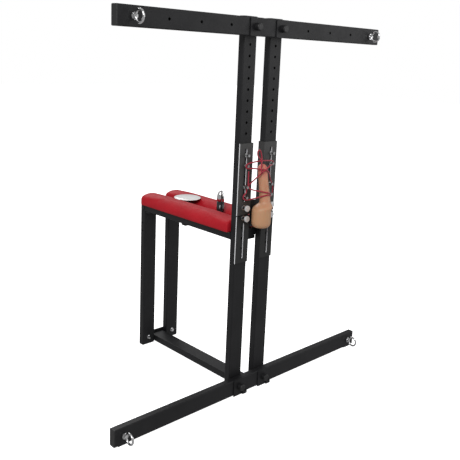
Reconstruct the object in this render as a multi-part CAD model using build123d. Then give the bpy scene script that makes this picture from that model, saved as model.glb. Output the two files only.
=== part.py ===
from build123d import *
import math
import os

# Free-standing restraint frame with a padded bench, in millimetres.
# +X runs along the two cross bars, +Y towards the bench's rear legs, +Z up.
# The origin is on the floor, half way along the bars and half way along the depth.

# ---- driving dimensions -------------------------------------------------------
TUBE_W = 50.0            # wide side of the frame tube
TUBE_T = 22.0            # narrow side of the frame tube
WALL = 2.0               # tube wall
TUBE_R = 3.0             # outer corner radius of the tube
FLOOR_GAP = 3.0          # thickness of the rubber glides
BAR_LEN = 1024.0         # both cross bars, over their end plugs
FRAME_TOP = 1126.0       # top of the upper bar
STAND_X = -10.0          # uprights and bench sit this far left of the bars' middle
PITCH = 103.0            # between the two uprights, and between the two legs
LEG_Y = 447.0            # front face of the rear legs, from the uprights' front face
REAR_H = 30.0            # height of the rear crosspiece
REAR_T = 6.0             # it is a flat bar behind the legs
SEAT_Z = 511.0           # top of the bench rails
BOARD_T = 7.0            # cushion base boards
PAD_W = 75.0             # one cushion
PAD_SIDE = 22.0          # height of a cushion's side
PAD_RISE = 9.5           # crown above the sides
PAD_Y0 = 25.0            # front end of the cushions
PAD_Y1 = 457.0           # rear end of the cushions
HOLE_R = 4.0             # adjusting holes
HOLE_PITCH = 31.0
HOLE_TOP_Z = 1053.0
HOLE_COUNT = 20
BAR_HOLE_PITCH = 103.0
BAR_HOLE_X = 155.0       # first hole of the upper bar, each side of the middle
BRACKET_T = 3.0          # sheet of the angle brackets
BRACKET_GAP = 0.3        # between a bracket and its upright
SCREW_Y = (90, 205, 380) # screws of the cushion boards
SCREW_R = 2.2
BOLT_R = 3.0             # frame bolts and the knobs' studs
BOLT_HOLE_R = 3.3
REAR_BOLT_REACH = 37.0   # from the legs' front face to a rear bolt's tip
UPPER_Z = (566.0, 777.0)
LOWER_Z = (420.0, 563.0)
SLOT_W = 10.0
UPPER_SLOT_Z = (604.0, 762.0)
LOWER_SLOT_Z = (432.0, 542.0)
KNOB_UPPER_Z = HOLE_TOP_Z - 15 * HOLE_PITCH
KNOB_LOWER_Z = HOLE_TOP_Z - 16 * HOLE_PITCH
PIN_Z = [HOLE_TOP_Z - n * HOLE_PITCH for n in (10, 11, 13, 14)]
EYE_TOP_X = 464.0        # eye bolts of the upper bar
EYE_LOW_X = 480.0        # eye bolts of the lower bar
EYE_OD = 36.0
EYE_WIRE = 6.0
SHANK_R = 4.0
FIT = 0.05               # radial clearance of a turning or sliding fit
FORM_X = -18.0           # axis of the soft form's base, in front of the uprights
FORM_Y = -35.0
FORM_LOW = (-6.0, -41.0, 575.0)      # the column leans back from here
FORM_TIP = (-12.2, -24.5, 702.5)     # to the centre of its round tip
FORM_R = 16.5            # column at its foot
FORM_TIP_R = 14.5
FORM_BASE_R = 28.5
FORM_CORNER = 9.0
FORM_FOOT = 14.0         # rounding of the base's underside
FORM_BASE_H = 68.0
FORM_Z = 530.0
DISC_Y = 316.0
DISC_R = 44.0
POST_Y = 153.0
POST_R = 6.0
POST_LOW_Z = 466.0       # lower ends of the two posts
TRACK_SLOT = 6.5         # half the width of the guide slot
CORD_R = 2.0
HIGH_PASS = (703.0, 700.0, 694.0)    # heights of the lacing's passes round the column
RISING_PASS = (697.0, 709.0, 716.0)
MIDDLE_PASS = (637.5, 635.0, 631.5)
LOW_PASS = (627.5, 629.5, 625.5)

# ---- places worked out from them ------------------------------------------------
# Built with the uprights' front face at Y = 0, then moved so that the origin is
# half way along the depth.
LEFT_X = STAND_X - PITCH / 2
RIGHT_X = STAND_X + PITCH / 2
INNER_L = LEFT_X + TUBE_W / 2
INNER_R = RIGHT_X - TUBE_W / 2
EYE_Y = -TUBE_T - 5.0 - EYE_OD / 2
BACK_Y = LEG_Y + REAR_BOLT_REACH
FRONT_Y = FORM_Y - FORM_BASE_R
SHIFT_Y = -(BACK_Y + FRONT_Y) / 2
LOW_BAR_Z = FLOOR_GAP + TUBE_W / 2
TOP_BAR_Z = FRAME_TOP - TUBE_W / 2
RAIL_Z = SEAT_Z - TUBE_T / 2
PAD_Z = SEAT_Z + BOARD_T
PAD_TOP = PAD_Z + PAD_SIDE + PAD_RISE
TRACK_Z = RAIL_Z - TUBE_T / 2
TRACK_T = 5.0
PIN_OUT = 14.0           # how far a cord pin stands out of its bracket
PLATE_T = 3.0            # clamp plates
BOLT_Z = FLOOR_GAP + REAR_H - 7


def block(x0, x1, y0, y1, z0, z1):
    """A plain box between two corners."""
    return Pos((x0 + x1) / 2, (y0 + y1) / 2, (z0 + z1) / 2) * Box(x1 - x0, y1 - y0, z1 - z0)


def rod(centre, axis, radius, length):
    """A cylinder centred on a point, along X, Y or Z."""
    turn = {"X": Rot(0, 90, 0), "Y": Rot(90, 0, 0), "Z": Rot(0, 0, 0)}[axis]
    return Pos(*centre) * turn * Cylinder(radius, length)


def tube(centre, axis, length, wide, wide_t=TUBE_W, thin_t=TUBE_T):
    """A rectangular tube with round corners; wide names the axis of its wide side."""
    planes = {
        ("X", "Z"): Plane(origin=centre, x_dir=(0, 0, 1), z_dir=(1, 0, 0)),
        ("Y", "X"): Plane(origin=centre, x_dir=(1, 0, 0), z_dir=(0, 1, 0)),
        ("Z", "X"): Plane(origin=centre, x_dir=(1, 0, 0), z_dir=(0, 0, 1)),
    }
    outline = RectangleRounded(wide_t, thin_t, TUBE_R)
    bore = RectangleRounded(wide_t - 2 * WALL, thin_t - 2 * WALL, TUBE_R - WALL)
    return extrude(planes[(axis, wide)] * (outline - bore), amount=length / 2, both=True)


def hexagon(centre, axis, across, height):
    """A hexagonal nut or bolt head."""
    turn = {"Y": Rot(90, 0, 0), "Z": Rot(0, 0, 0)}[axis]
    prism = extrude(RegularPolygon(across / 2, 6, major_radius=False), amount=height / 2, both=True)
    return Pos(*centre) * turn * prism


def turned(points, centre):
    """A solid of revolution about a vertical axis, from (radius, height) points."""
    outline = make_face(Polyline(*[(r, 0, z) for r, z in points], close=True))
    return Pos(*centre) * revolve(outline, Axis.Z)


# ---- bars and uprights ------------------------------------------------------------
def upper_bar():
    bar = tube((0, -TUBE_T / 2, TOP_BAR_Z), "X", BAR_LEN - 6, "Z")
    for side in (-1, 1):
        for n in range(3):
            x = side * (BAR_HOLE_X + n * BAR_HOLE_PITCH)
            bar -= rod((x, -TUBE_T, TOP_BAR_Z), "Y", HOLE_R, TUBE_T)
        bar -= rod((side * EYE_TOP_X, -TUBE_T / 2, TOP_BAR_Z), "Y", SHANK_R + 2, TUBE_T + 2)
    for x in (LEFT_X, RIGHT_X):
        bar -= rod((x, -TUBE_T / 2, TOP_BAR_Z), "Y", BOLT_HOLE_R, TUBE_T + 2)
    return bar


def lower_bar():
    bar = tube((0, -TUBE_T / 2, LOW_BAR_Z), "X", BAR_LEN - 6, "Z")
    for side in (-1, 1):
        bar -= rod((side * EYE_LOW_X, -TUBE_T / 2, LOW_BAR_Z), "Y", SHANK_R + 2, TUBE_T + 2)
    for x in (LEFT_X, RIGHT_X):
        bar -= rod((x, -TUBE_T / 2, LOW_BAR_Z), "Y", BOLT_HOLE_R, TUBE_T + 2)
    return bar


def bar_plugs(z):
    plugs = []
    for side in (-1, 1):
        x_in = side * (BAR_LEN / 2 - 3)
        flange = Plane(origin=(x_in, -TUBE_T / 2, z), x_dir=(0, 0, 1), z_dir=(side, 0, 0))
        face = extrude(flange * RectangleRounded(TUBE_W, TUBE_T, TUBE_R), amount=3)
        face = fillet(face.faces().sort_by(Axis.X)[-1 if side > 0 else 0].edges(), 1.2)
        inner = RectangleRounded(TUBE_W - 2 * WALL, TUBE_T - 2 * WALL, TUBE_R - WALL)
        stub = extrude(flange * inner, amount=-14)
        plugs.append(face + stub)
    return plugs


def upright(x):
    length = FRAME_TOP - FLOOR_GAP
    post = tube((x, TUBE_T / 2, FLOOR_GAP + length / 2), "Z", length, "X")
    for n in range(HOLE_COUNT):
        post -= rod((x, 0, HOLE_TOP_Z - n * HOLE_PITCH), "Y", HOLE_R, 2 * WALL + 4)
    for z in (LOW_BAR_Z, TOP_BAR_Z):
        post -= rod((x, TUBE_T / 2, z), "Y", BOLT_HOLE_R, TUBE_T + 2)
    return post


def upright_caps():
    caps = []
    for x in (LEFT_X, RIGHT_X):
        rim = Plane(origin=(x, TUBE_T / 2, FRAME_TOP))
        cap = extrude(rim * RectangleRounded(TUBE_W, TUBE_T, TUBE_R), amount=3.5)
        cap = fillet(cap.faces().sort_by(Axis.Z)[-1].edges(), 1.5)
        inner = RectangleRounded(TUBE_W - 2 * WALL, TUBE_T - 2 * WALL, TUBE_R - WALL)
        caps.append(cap + extrude(rim * inner, amount=-14))
    return caps


def clamp_plates_top():
    plates = []
    for x in (LEFT_X, RIGHT_X):
        plate = Plane(origin=(x, -TUBE_T, TOP_BAR_Z), x_dir=(1, 0, 0), z_dir=(0, -1, 0))
        sheet = extrude(plate * RectangleRounded(TUBE_W, TUBE_W, 4), amount=PLATE_T)
        plates.append(sheet - rod((x, -TUBE_T, TOP_BAR_Z), "Y", BOLT_HOLE_R, 20))
    return plates


def clamp_plates_low():
    """The lower plates have a short lip along their foot."""
    plates = []
    for x in (LEFT_X, RIGHT_X):
        sheet = block(x - TUBE_W / 2, x + TUBE_W / 2, -TUBE_T - PLATE_T, -TUBE_T, 1, TUBE_W + FLOOR_GAP)
        toe = block(x + 8, x + TUBE_W / 2, -TUBE_T - PLATE_T - 5, -TUBE_T - PLATE_T, 1, 12)
        sheet -= rod((x, -TUBE_T, LOW_BAR_Z), "Y", BOLT_HOLE_R, 20)
        plates.append(sheet + toe)
    return plates


def clamp_bolts():
    bolts = []
    for z in (LOW_BAR_Z, TOP_BAR_Z):
        for x in (LEFT_X, RIGHT_X):
            head_y = -TUBE_T - PLATE_T
            shank = rod((x, (head_y + TUBE_T + 10) / 2, z), "Y", BOLT_R, TUBE_T + 10 - head_y)
            head = rod((x, head_y - 7, z), "Y", 10.5, 14)
            head = fillet(head.faces().sort_by(Axis.Y)[0].edges(), 3.0)
            bolts.append(shank + head)
    return bolts


def clamp_nuts():
    nuts = []
    for z in (LOW_BAR_Z, TOP_BAR_Z):
        for x in (LEFT_X, RIGHT_X):
            nut = hexagon((x, TUBE_T + 3, z), "Y", 10, 6)
            nuts.append(nut - rod((x, TUBE_T + 3, z), "Y", BOLT_R, 10))
    return nuts


def glides():
    """Rubber glides under the lower bar's ends, the uprights, the rail and the legs."""
    feet = []
    for side in (-1, 1):
        x = side * (BAR_LEN / 2 - 30)
        feet.append(block(x - 16, x + 16, -TUBE_T + 2, -2, 0, FLOOR_GAP))
    for x in (LEFT_X, RIGHT_X):
        feet.append(block(x - 23, x + 23, 2, TUBE_T - 2, 0, FLOOR_GAP))
        feet.append(block(x - 23, x + 23, LEG_Y + 2, LEG_Y + TUBE_T - 2, 0, FLOOR_GAP))
    return feet


# ---- bench -------------------------------------------------------------------------
def bench_rail(x):
    length = LEG_Y - TUBE_T
    rail = tube((x, TUBE_T + length / 2, RAIL_Z), "Y", length, "X")
    for y in SCREW_Y:
        rail -= rod((x, y, RAIL_Z), "Z", SCREW_R + 0.4, TUBE_T + 2)
    return rail


def leg(x):
    length = SEAT_Z - 2 - FLOOR_GAP
    post = tube((x, LEG_Y + TUBE_T / 2, FLOOR_GAP + length / 2), "Z", length, "X")
    side = 1 if x > STAND_X else -1
    for z in (447, 419):
        post -= rod((x + side * TUBE_W / 2, LEG_Y + TUBE_T / 2, z), "X", 3.0, 2 * WALL + 4)
    return post - rod((x, LEG_Y + TUBE_T / 2, BOLT_Z), "Y", BOLT_HOLE_R, TUBE_T + 2)


def leg_caps():
    caps = []
    for x in (LEFT_X, RIGHT_X):
        rim = Plane(origin=(x, LEG_Y + TUBE_T / 2, SEAT_Z - 2))
        inner = RectangleRounded(TUBE_W - 2 * WALL, TUBE_T - 2 * WALL, TUBE_R - WALL)
        cap = extrude(rim * RectangleRounded(TUBE_W, TUBE_T, TUBE_R), amount=2)
        caps.append(cap + extrude(rim * inner, amount=-12))
        side = 1 if x > STAND_X else -1
        button = rod((x + side * (TUBE_W / 2 + 1), LEG_Y + TUBE_T / 2, 499), "X", 7.5, 2)
        caps.append(fillet(button.faces().sort_by(Axis.X)[-1 if side > 0 else 0].edges(), 0.8))
    return caps


def rear_crosspiece():
    width = PITCH + TUBE_W - 13
    z = FLOOR_GAP + REAR_H / 2
    y = LEG_Y + TUBE_T + REAR_T / 2
    bar = block(STAND_X - width / 2, STAND_X + width / 2, y - REAR_T / 2, y + REAR_T / 2,
                z - REAR_H / 2, z + REAR_H / 2)
    for x in (LEFT_X, RIGHT_X):
        bar -= rod((x, y, BOLT_Z), "Y", BOLT_HOLE_R, TUBE_T + 2)
    return bar


def rear_bolts():
    bolts = []
    for x in (LEFT_X, RIGHT_X):
        reach = REAR_BOLT_REACH
        shank = rod((x, LEG_Y + reach / 2, BOLT_Z), "Y", BOLT_R, reach)
        washer = rod((x, LEG_Y - 0.75, BOLT_Z), "Y", 6.5, 1.5)
        head = hexagon((x, LEG_Y - 4, BOLT_Z), "Y", 10, 5)
        bolts.append(shank + washer + head)
    return bolts


def rear_nuts():
    nuts = []
    for x in (LEFT_X, RIGHT_X):
        y = LEG_Y + TUBE_T + REAR_T + 2.5
        nuts.append(hexagon((x, y, BOLT_Z), "Y", 10, 5) - rod((x, y, BOLT_Z), "Y", BOLT_R, 8))
    return nuts


def floor_rail():
    length = LEG_Y + TUBE_T
    return tube((STAND_X, length / 2, FLOOR_GAP + TUBE_T / 2), "Y", length, "X")


def front_crosspiece():
    return block(INNER_L, INNER_R, TUBE_T, 2 * TUBE_T, SEAT_Z - 33, SEAT_Z)


def post_track():
    """Flat bar between the rails, with a slot that guides the two carriages."""
    bar = block(STAND_X - 20, STAND_X + 20, 2 * TUBE_T, LEG_Y, TRACK_Z, TRACK_Z + TRACK_T)
    slot = block(STAND_X - TRACK_SLOT, STAND_X + TRACK_SLOT, 62, LEG_Y - 20, TRACK_Z - 1, TRACK_Z + TRACK_T + 1)
    return bar - slot


def track_ties():
    ties = []
    for y in (240.0, LEG_Y - 16):
        tie = block(STAND_X - 76, STAND_X + 76, y - 10, y + 10, TRACK_Z - 4, TRACK_Z)
        ties.append(tie)
    return ties


def board(x):
    sheet = block(x - 33, x + 33, PAD_Y0 + 3, PAD_Y1 - 3, SEAT_Z, PAD_Z)
    for y in SCREW_Y:
        sheet -= rod((x, y, SEAT_Z), "Z", SCREW_R, 7)
    return sheet


def board_screws():
    screws = []
    for x in (LEFT_X, RIGHT_X):
        for y in SCREW_Y:
            shank = rod((x, y, RAIL_Z + 0.75), "Z", SCREW_R, TUBE_T + 5.5)
            screws.append(shank + rod((x, y, TRACK_Z - 1.5), "Z", 5.0, 3))
    return screws


def cushion(x):
    """A cushion with a crowned top and plain ends, wrapped down round its board."""
    half = PAD_W / 2
    side_z = PAD_Z + PAD_SIDE
    outline = [
        Line((x - half, SEAT_Z), (x - half, side_z)),
        ThreePointArc((x - half, side_z), (x, side_z + PAD_RISE), (x + half, side_z)),
        Line((x + half, side_z), (x + half, SEAT_Z)),
        Line((x + half, SEAT_Z), (x - half, SEAT_Z)),
    ]
    face = make_face(outline)
    end = Plane(origin=(0, PAD_Y1, 0), x_dir=(1, 0, 0), z_dir=(0, -1, 0))
    pad = extrude(end * face, amount=PAD_Y1 - PAD_Y0)
    return pad - block(x - 33, x + 33, PAD_Y0 + 3, PAD_Y1 - 3, SEAT_Z - 1, PAD_Z)


# ---- eye bolts -----------------------------------------------------------------------
def eye(x, z):
    """Eye with its flange and shank; the ring stands in the plane square to the bar."""
    ring = Pos(x, EYE_Y, z) * Rot(0, 90, 0) * Torus((EYE_OD - EYE_WIRE) / 2, EYE_WIRE / 2)
    neck = rod((x, -TUBE_T - 5, z), "Y", 6.5, 6.8)
    flange = rod((x, -TUBE_T - 2.6, z), "Y", 9, 2.2)
    shank = rod((x, -TUBE_T / 2 + 3, z), "Y", SHANK_R, TUBE_T + 16)
    return ring + neck + flange + shank


def eye_nut(x, z):
    nut = hexagon((x, 5.0, z), "Y", 13, 6.5)
    return nut - rod((x, 5.0, z), "Y", SHANK_R, 10)


def eye_bushes():
    """Flanged sleeves pressed through the bars, in which the shanks turn."""
    bushes = []
    for x, z in EYE_PLACES:
        sleeve = rod((x, -TUBE_T / 2, z), "Y", SHANK_R + 2, TUBE_T)
        front = rod((x, -TUBE_T - 0.7, z), "Y", 10, 1.4)
        back = rod((x, 0.7, z), "Y", 10, 1.4)
        hole = rod((x, -TUBE_T / 2, z), "Y", SHANK_R + FIT, TUBE_T + 10)
        bushes.append(sleeve + front + back - hole)
    return bushes


EYE_PLACES = [
    (-EYE_TOP_X, TOP_BAR_Z),
    (EYE_TOP_X, TOP_BAR_Z),
    (-EYE_LOW_X, LOW_BAR_Z),
    (EYE_LOW_X, LOW_BAR_Z),
]
EYE_NAMES = ["top_left", "top_right", "low_left", "low_right"]


# ---- angle brackets, pins and knobs ----------------------------------------------------
def bracket(x, inner, zs, slot_zs, stud_z, angle):
    """Slotted plate on an upright's front face; an angle also covers the inner face.

    inner is +1 or -1 towards the gap between the uprights.
    """
    y0 = -BRACKET_GAP - BRACKET_T
    z0, z1 = zs
    edge = x + inner * (TUBE_W / 2 + BRACKET_GAP)
    front = block(min(x - inner * TUBE_W / 2, edge), max(x - inner * TUBE_W / 2, edge),
                  y0, -BRACKET_GAP, z0, z1)
    far = edge + inner * BRACKET_T
    side = block(min(edge, far), max(edge, far), y0, TUBE_T, z0, z1)
    sheet = front + side if angle else front
    mid = (slot_zs[0] + slot_zs[1]) / 2
    long = slot_zs[1] - slot_zs[0]
    face = Plane(origin=(x, y0 - 1, mid), x_dir=(0, 0, 1), z_dir=(0, 1, 0))
    sheet -= extrude(face * SlotOverall(long, SLOT_W), amount=BRACKET_T + 2)
    sheet -= rod((x, y0, stud_z), "Y", BOLT_R + FIT, 12)
    return sheet


def cord_pins():
    """Round pins with a head and a collar, fixed in the slots."""
    pins = []
    y0 = -BRACKET_GAP - BRACKET_T
    for x in (LEFT_X, RIGHT_X):
        for z in PIN_Z:
            base = rod((x, y0 + BRACKET_T / 2, z), "Y", SLOT_W / 2 - 0.1, BRACKET_T)
            collar = rod((x, y0 - 1, z), "Y", 6, 2)
            stem = rod((x, y0 - PIN_OUT / 2, z), "Y", 3, PIN_OUT)
            head = rod((x, y0 - PIN_OUT + 1.5, z), "Y", 4.2, 3)
            pins.append(base + collar + stem + head)
    return pins


def knob(x, z, tip_y):
    """Thumb knob with its stud; the stud ends at tip_y."""
    y0 = -BRACKET_GAP - BRACKET_T - 1.6
    body = rod((x, y0 - 14.4, z), "Y", 9.0, 5.4)
    body = fillet(body.faces().sort_by(Axis.Y)[0].edges(), 1.0)
    neck = rod((x, y0 - 6.2, z), "Y", 4.5, 12.4)
    stud_len = tip_y - y0 + 14
    stud = rod((x, tip_y - stud_len / 2, z), "Y", BOLT_R, stud_len)
    grip = body + neck + stud
    for n in range(16):
        a = math.radians(n * 22.5)
        groove = rod((x + 9.5 * math.cos(a), y0 - 14.4, z + 9.5 * math.sin(a)), "Y", 0.9, 7)
        grip -= groove
    return grip


def knob_washers(z):
    rings = []
    for x in (LEFT_X, RIGHT_X):
        y = -BRACKET_GAP - BRACKET_T - 0.75
        rings.append(rod((x, y, z), "Y", 7, 1.5) - rod((x, y, z), "Y", BOLT_R + FIT, 4))
    return rings


# ---- soft form and its plate ----------------------------------------------------------
def form_plate():
    """Plate between the two upper brackets that carries the soft form."""
    gap_l = INNER_L + BRACKET_GAP + BRACKET_T
    gap_r = INNER_R - BRACKET_GAP - BRACKET_T
    y0 = -BRACKET_GAP - BRACKET_T
    top = block(gap_l, gap_r, y0, y0 + BRACKET_T, UPPER_Z[0], 607)
    low = block(gap_l + 0.4, gap_r - 0.4, y0, y0 + BRACKET_T, 527, UPPER_Z[0])
    return top + low


def form_stud():
    return rod((STAND_X, -BRACKET_GAP - BRACKET_T - 5, 566), "Y", 6, 10)


def soft_form():
    """Plain rounded column, leaning back a little, on a wider rounded base."""
    r, foot = FORM_CORNER, FORM_FOOT
    wide = FORM_BASE_R - r
    outline = [
        Line((0, 0), (FORM_BASE_R - foot, 0)),
        RadiusArc((FORM_BASE_R - foot, 0), (FORM_BASE_R, foot), -foot),
        Line((FORM_BASE_R, foot), (FORM_BASE_R, FORM_BASE_H - r)),
        RadiusArc((FORM_BASE_R, FORM_BASE_H - r), (wide, FORM_BASE_H), -r),
        Line((wide, FORM_BASE_H), (0, FORM_BASE_H)),
        Line((0, FORM_BASE_H), (0, 0)),
    ]
    base = Pos(FORM_X, FORM_Y, FORM_Z) * revolve(Plane.XZ * make_face(outline), Axis.Z)
    lean = Vector(*FORM_TIP) - Vector(*FORM_LOW)
    rise = lean.length
    outline = [
        Line((0, 0), (FORM_R, 0)),
        Line((FORM_R, 0), (FORM_TIP_R, rise)),
        RadiusArc((FORM_TIP_R, rise), (0, rise + FORM_TIP_R), -FORM_TIP_R),
        Line((0, rise + FORM_TIP_R), (0, 0)),
    ]
    column = Plane(origin=FORM_LOW, z_dir=lean) * revolve(Plane.XZ * make_face(outline), Axis.Z)
    socket = rod((STAND_X, -BRACKET_GAP - BRACKET_T - 5, 566), "Y", 6, 10)
    return base + column - socket


# ---- lacing ------------------------------------------------------------------------------
CORD_IN = -BRACKET_GAP - BRACKET_T - 4.0    # two layers of cord on the pins
CORD_OUT = CORD_IN - 4.1
PIN_WRAP = 3.0 + CORD_R + 2.0               # route's points round a pin; its arcs pass inside them
KNOT = (-18.0, -24.0, 727.0)
KNOT_R = 6.0
Z1, Z2, Z3, Z4 = PIN_Z


def wrap(z_left, z_front, z_right, radius=18.7):
    """Three points of the route round the column's front, from left to right."""
    spots = []
    for angle, z in ((228, z_left), (268, z_front), (308, z_right)):
        t = (z - FORM_LOW[2]) / (FORM_TIP[2] - FORM_LOW[2])
        x = FORM_LOW[0] + t * (FORM_TIP[0] - FORM_LOW[0])
        y = FORM_LOW[1] + t * (FORM_TIP[1] - FORM_LOW[1])
        a = math.radians(angle)
        spots.append((x + radius * math.cos(a), y + radius * math.sin(a), z))
    return spots


def cord_tube(points, share=0.45):
    """Round tube along straight runs joined by tangent arcs."""
    pts = [Vector(*p) for p in points]
    radii = []
    for a, b, c in zip(pts, pts[1:], pts[2:]):
        run = min((b - a).length, (c - b).length)
        turn = math.radians((b - a).get_angle(c - b))
        radii.append(share * run / math.tan(turn / 2))
    path = FilletPolyline(*pts, radius=radii)
    start = Plane(origin=pts[0], z_dir=pts[1] - pts[0])
    solid = sweep(start * Circle(CORD_R), path=path)
    print("cord", len(pts), "points, length", round(path.length, 1),
          "tightest arc", round(min(radii), 1),
          "volume ratio", round(solid.volume / (math.pi * CORD_R ** 2 * path.length), 4))
    return solid


def main_lacing():
    """Knot, left pins, down across to the right pins, and back up to the knot."""
    w = PIN_WRAP
    x, y, z = KNOT
    return [
        (x - 3.4, y + 1.5, z - 1),
        (LEFT_X + 25, -17, Z2 + 11.5),
        (LEFT_X + 4, CORD_OUT, Z2 + 8),
        (LEFT_X - w, CORD_OUT, Z2 + 1),
        (LEFT_X - 1, CORD_OUT - 0.6, Z2 - w - 1),
        (LEFT_X + 15, CORD_OUT - 6, Z2 - 6),
        *wrap(*HIGH_PASS),
        (RIGHT_X - 10, CORD_OUT - 5, Z3 + 14),
        (RIGHT_X + w, CORD_OUT, Z3 - 1),
        (RIGHT_X + w + 1, CORD_OUT, Z3 - 16),
        (RIGHT_X + w, CORD_OUT, Z4 - 1),
        (RIGHT_X, CORD_OUT - 0.6, Z4 - w - 1),
        (RIGHT_X - 17, CORD_OUT - 14, Z4 - 2),
        *reversed(wrap(*LOW_PASS)),
        (LEFT_X + 15, CORD_IN - 8, Z4 - 6),
        (LEFT_X, CORD_IN, Z4 - w - 1),
        (LEFT_X - w - 1, CORD_IN, Z4 - 1),
        (LEFT_X - w + 2, CORD_IN, Z4 + 8),
        (LEFT_X + 5, CORD_IN, Z4 + 14),
        (LEFT_X + 6, CORD_IN, Z3 - 4),
        (LEFT_X + 11, CORD_IN - 3, Z3 + 7),
        *wrap(*RISING_PASS, 23.3),
        (RIGHT_X - 6, CORD_OUT - 4, Z2 - 4.5),
        (RIGHT_X + w, CORD_OUT, Z2 + 1),
        (RIGHT_X, CORD_OUT - 0.6, Z2 + w + 2),
        (RIGHT_X - 20, -17, Z2 + 10.5),
        (x + 3.4, y + 1.5, z - 0.5),
    ]


def cross_lacing():
    """The second cord: down the left pins' inner side, then across to the last right pin."""
    w = PIN_WRAP
    return [
        (LEFT_X + 5, CORD_OUT - 1.5, Z2 - 15),
        (LEFT_X + 6, CORD_OUT - 1, Z3 + 26),
        (LEFT_X + 5.2, CORD_OUT - 1.5, Z3 - 1),
        (LEFT_X + 15, CORD_OUT - 8, Z3 - 8),
        *wrap(*MIDDLE_PASS),
        (RIGHT_X - 17, CORD_OUT - 8, Z4 + 5),
        (RIGHT_X - 1.5, CORD_IN, Z4 + w),
    ]


def bow():
    """One open loop of the bow above the knot."""
    x, y, z = KNOT
    return [
        (x - 2.3, y - 0.5, z + 3.2),
        (x - 12, y - 1, z + 10),
        (x - 19, y - 2, z + 19),
        (x - 18, y - 2, z + 30),
        (x - 9, y - 1, z + 32.5),
        (x - 3, y - 0.5, z + 23),
        (x + 0.5, y, z + 13),
        (x + 2.3, y - 0.5, z + 3.2),
    ]


def tail():
    """The free end of the cord below the knot."""
    x, y, z = KNOT
    return [(x - 0.8, y - 2.8, z - 2.6), (x - 9, y - 10, z - 8), (x - 15, y - 16, z - 18), (x - 17, y - 19, z - 31)]


def knot():
    return Pos(*KNOT) * Sphere(KNOT_R)


# ---- posts between the cushions ---------------------------------------------------------
def carriage(y):
    """Block that slides along the track, with a bore for a post."""
    base_z = TRACK_Z + TRACK_T
    body = block(STAND_X - 16, STAND_X + 16, y - 16, y + 16, base_z + 0.2, SEAT_Z - 1)
    key = block(STAND_X - TRACK_SLOT + 0.1, STAND_X + TRACK_SLOT - 0.1, y - 14, y + 14, TRACK_Z + 0.5, base_z + 0.2)
    return body + key - rod((STAND_X, y, RAIL_Z), "Z", POST_R + FIT, 60)


def disc_post():
    return rod((STAND_X, DISC_Y, (POST_LOW_Z + 540) / 2), "Z", POST_R, 540 - POST_LOW_Z)


def disc_head():
    """Mushroom head: thin domed disc on a fluted neck."""
    z = PAD_TOP + 1.1
    profile = [
        (POST_R, 522), (12.5, 522), (12.5, 543.5), (30, z), (DISC_R - 0.6, z),
        (DISC_R, z + 1), (DISC_R - 0.8, z + 3.4), (30, z + 4.8), (14, z + 5.6), (0, z + 5.8),
        (0, 540), (POST_R, 540),
    ]
    head = turned(profile, (STAND_X, DISC_Y, 0))
    for n in range(12):
        a = math.radians(n * 30 + 15)
        place = (STAND_X + 31 * math.cos(a), DISC_Y + 31 * math.sin(a), z - 3)
        head -= rod(place, "Z", 3.2, 6.5)
    return head


def bullet_post():
    return rod((STAND_X, POST_Y, (POST_LOW_Z + 545) / 2), "Z", POST_R, 545 - POST_LOW_Z)


def bullet():
    """Bullet-shaped chrome head with a collar."""
    z0, z1 = 527.0, 606.0
    profile = [
        Line((0, 545), (POST_R, 545)),
        Line((POST_R, 545), (POST_R, z0)),
        Line((POST_R, z0), (11.0, z0)),
        Line((11.0, z0), (12.0, z0 + 2)),
        Line((12.0, z0 + 2), (12.0, z1 - 12)),
        RadiusArc((12.0, z1 - 12), (0, z1), -12.0),
        Line((0, z1), (0, 545)),
    ]
    body = revolve(Plane.XZ * make_face(profile), Axis.Z)
    groove = Pos(0, 0, 571) * (Cylinder(14, 1.6) - Cylinder(11.2, 3))
    return Pos(STAND_X, POST_Y, 0) * (body - groove)


def bullet_button():
    """Small switch button on the bullet's side, above the cushions."""
    return rod((STAND_X + 13.3, POST_Y, 577), "X", 2.6, 2.6)


# ---- write every node --------------------------------------------------------------------
def write(name, shape):
    """Move a node to the shared origin and write it as one STEP file."""
    solids = []
    for item in (shape if isinstance(shape, list) else [shape]):
        solids += list((Pos(0, SHIFT_Y, 0) * item).solids())
    body = solids[0] if len(solids) == 1 else Compound(children=solids)
    export_step(body, f"parts/{name}.step")


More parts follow.
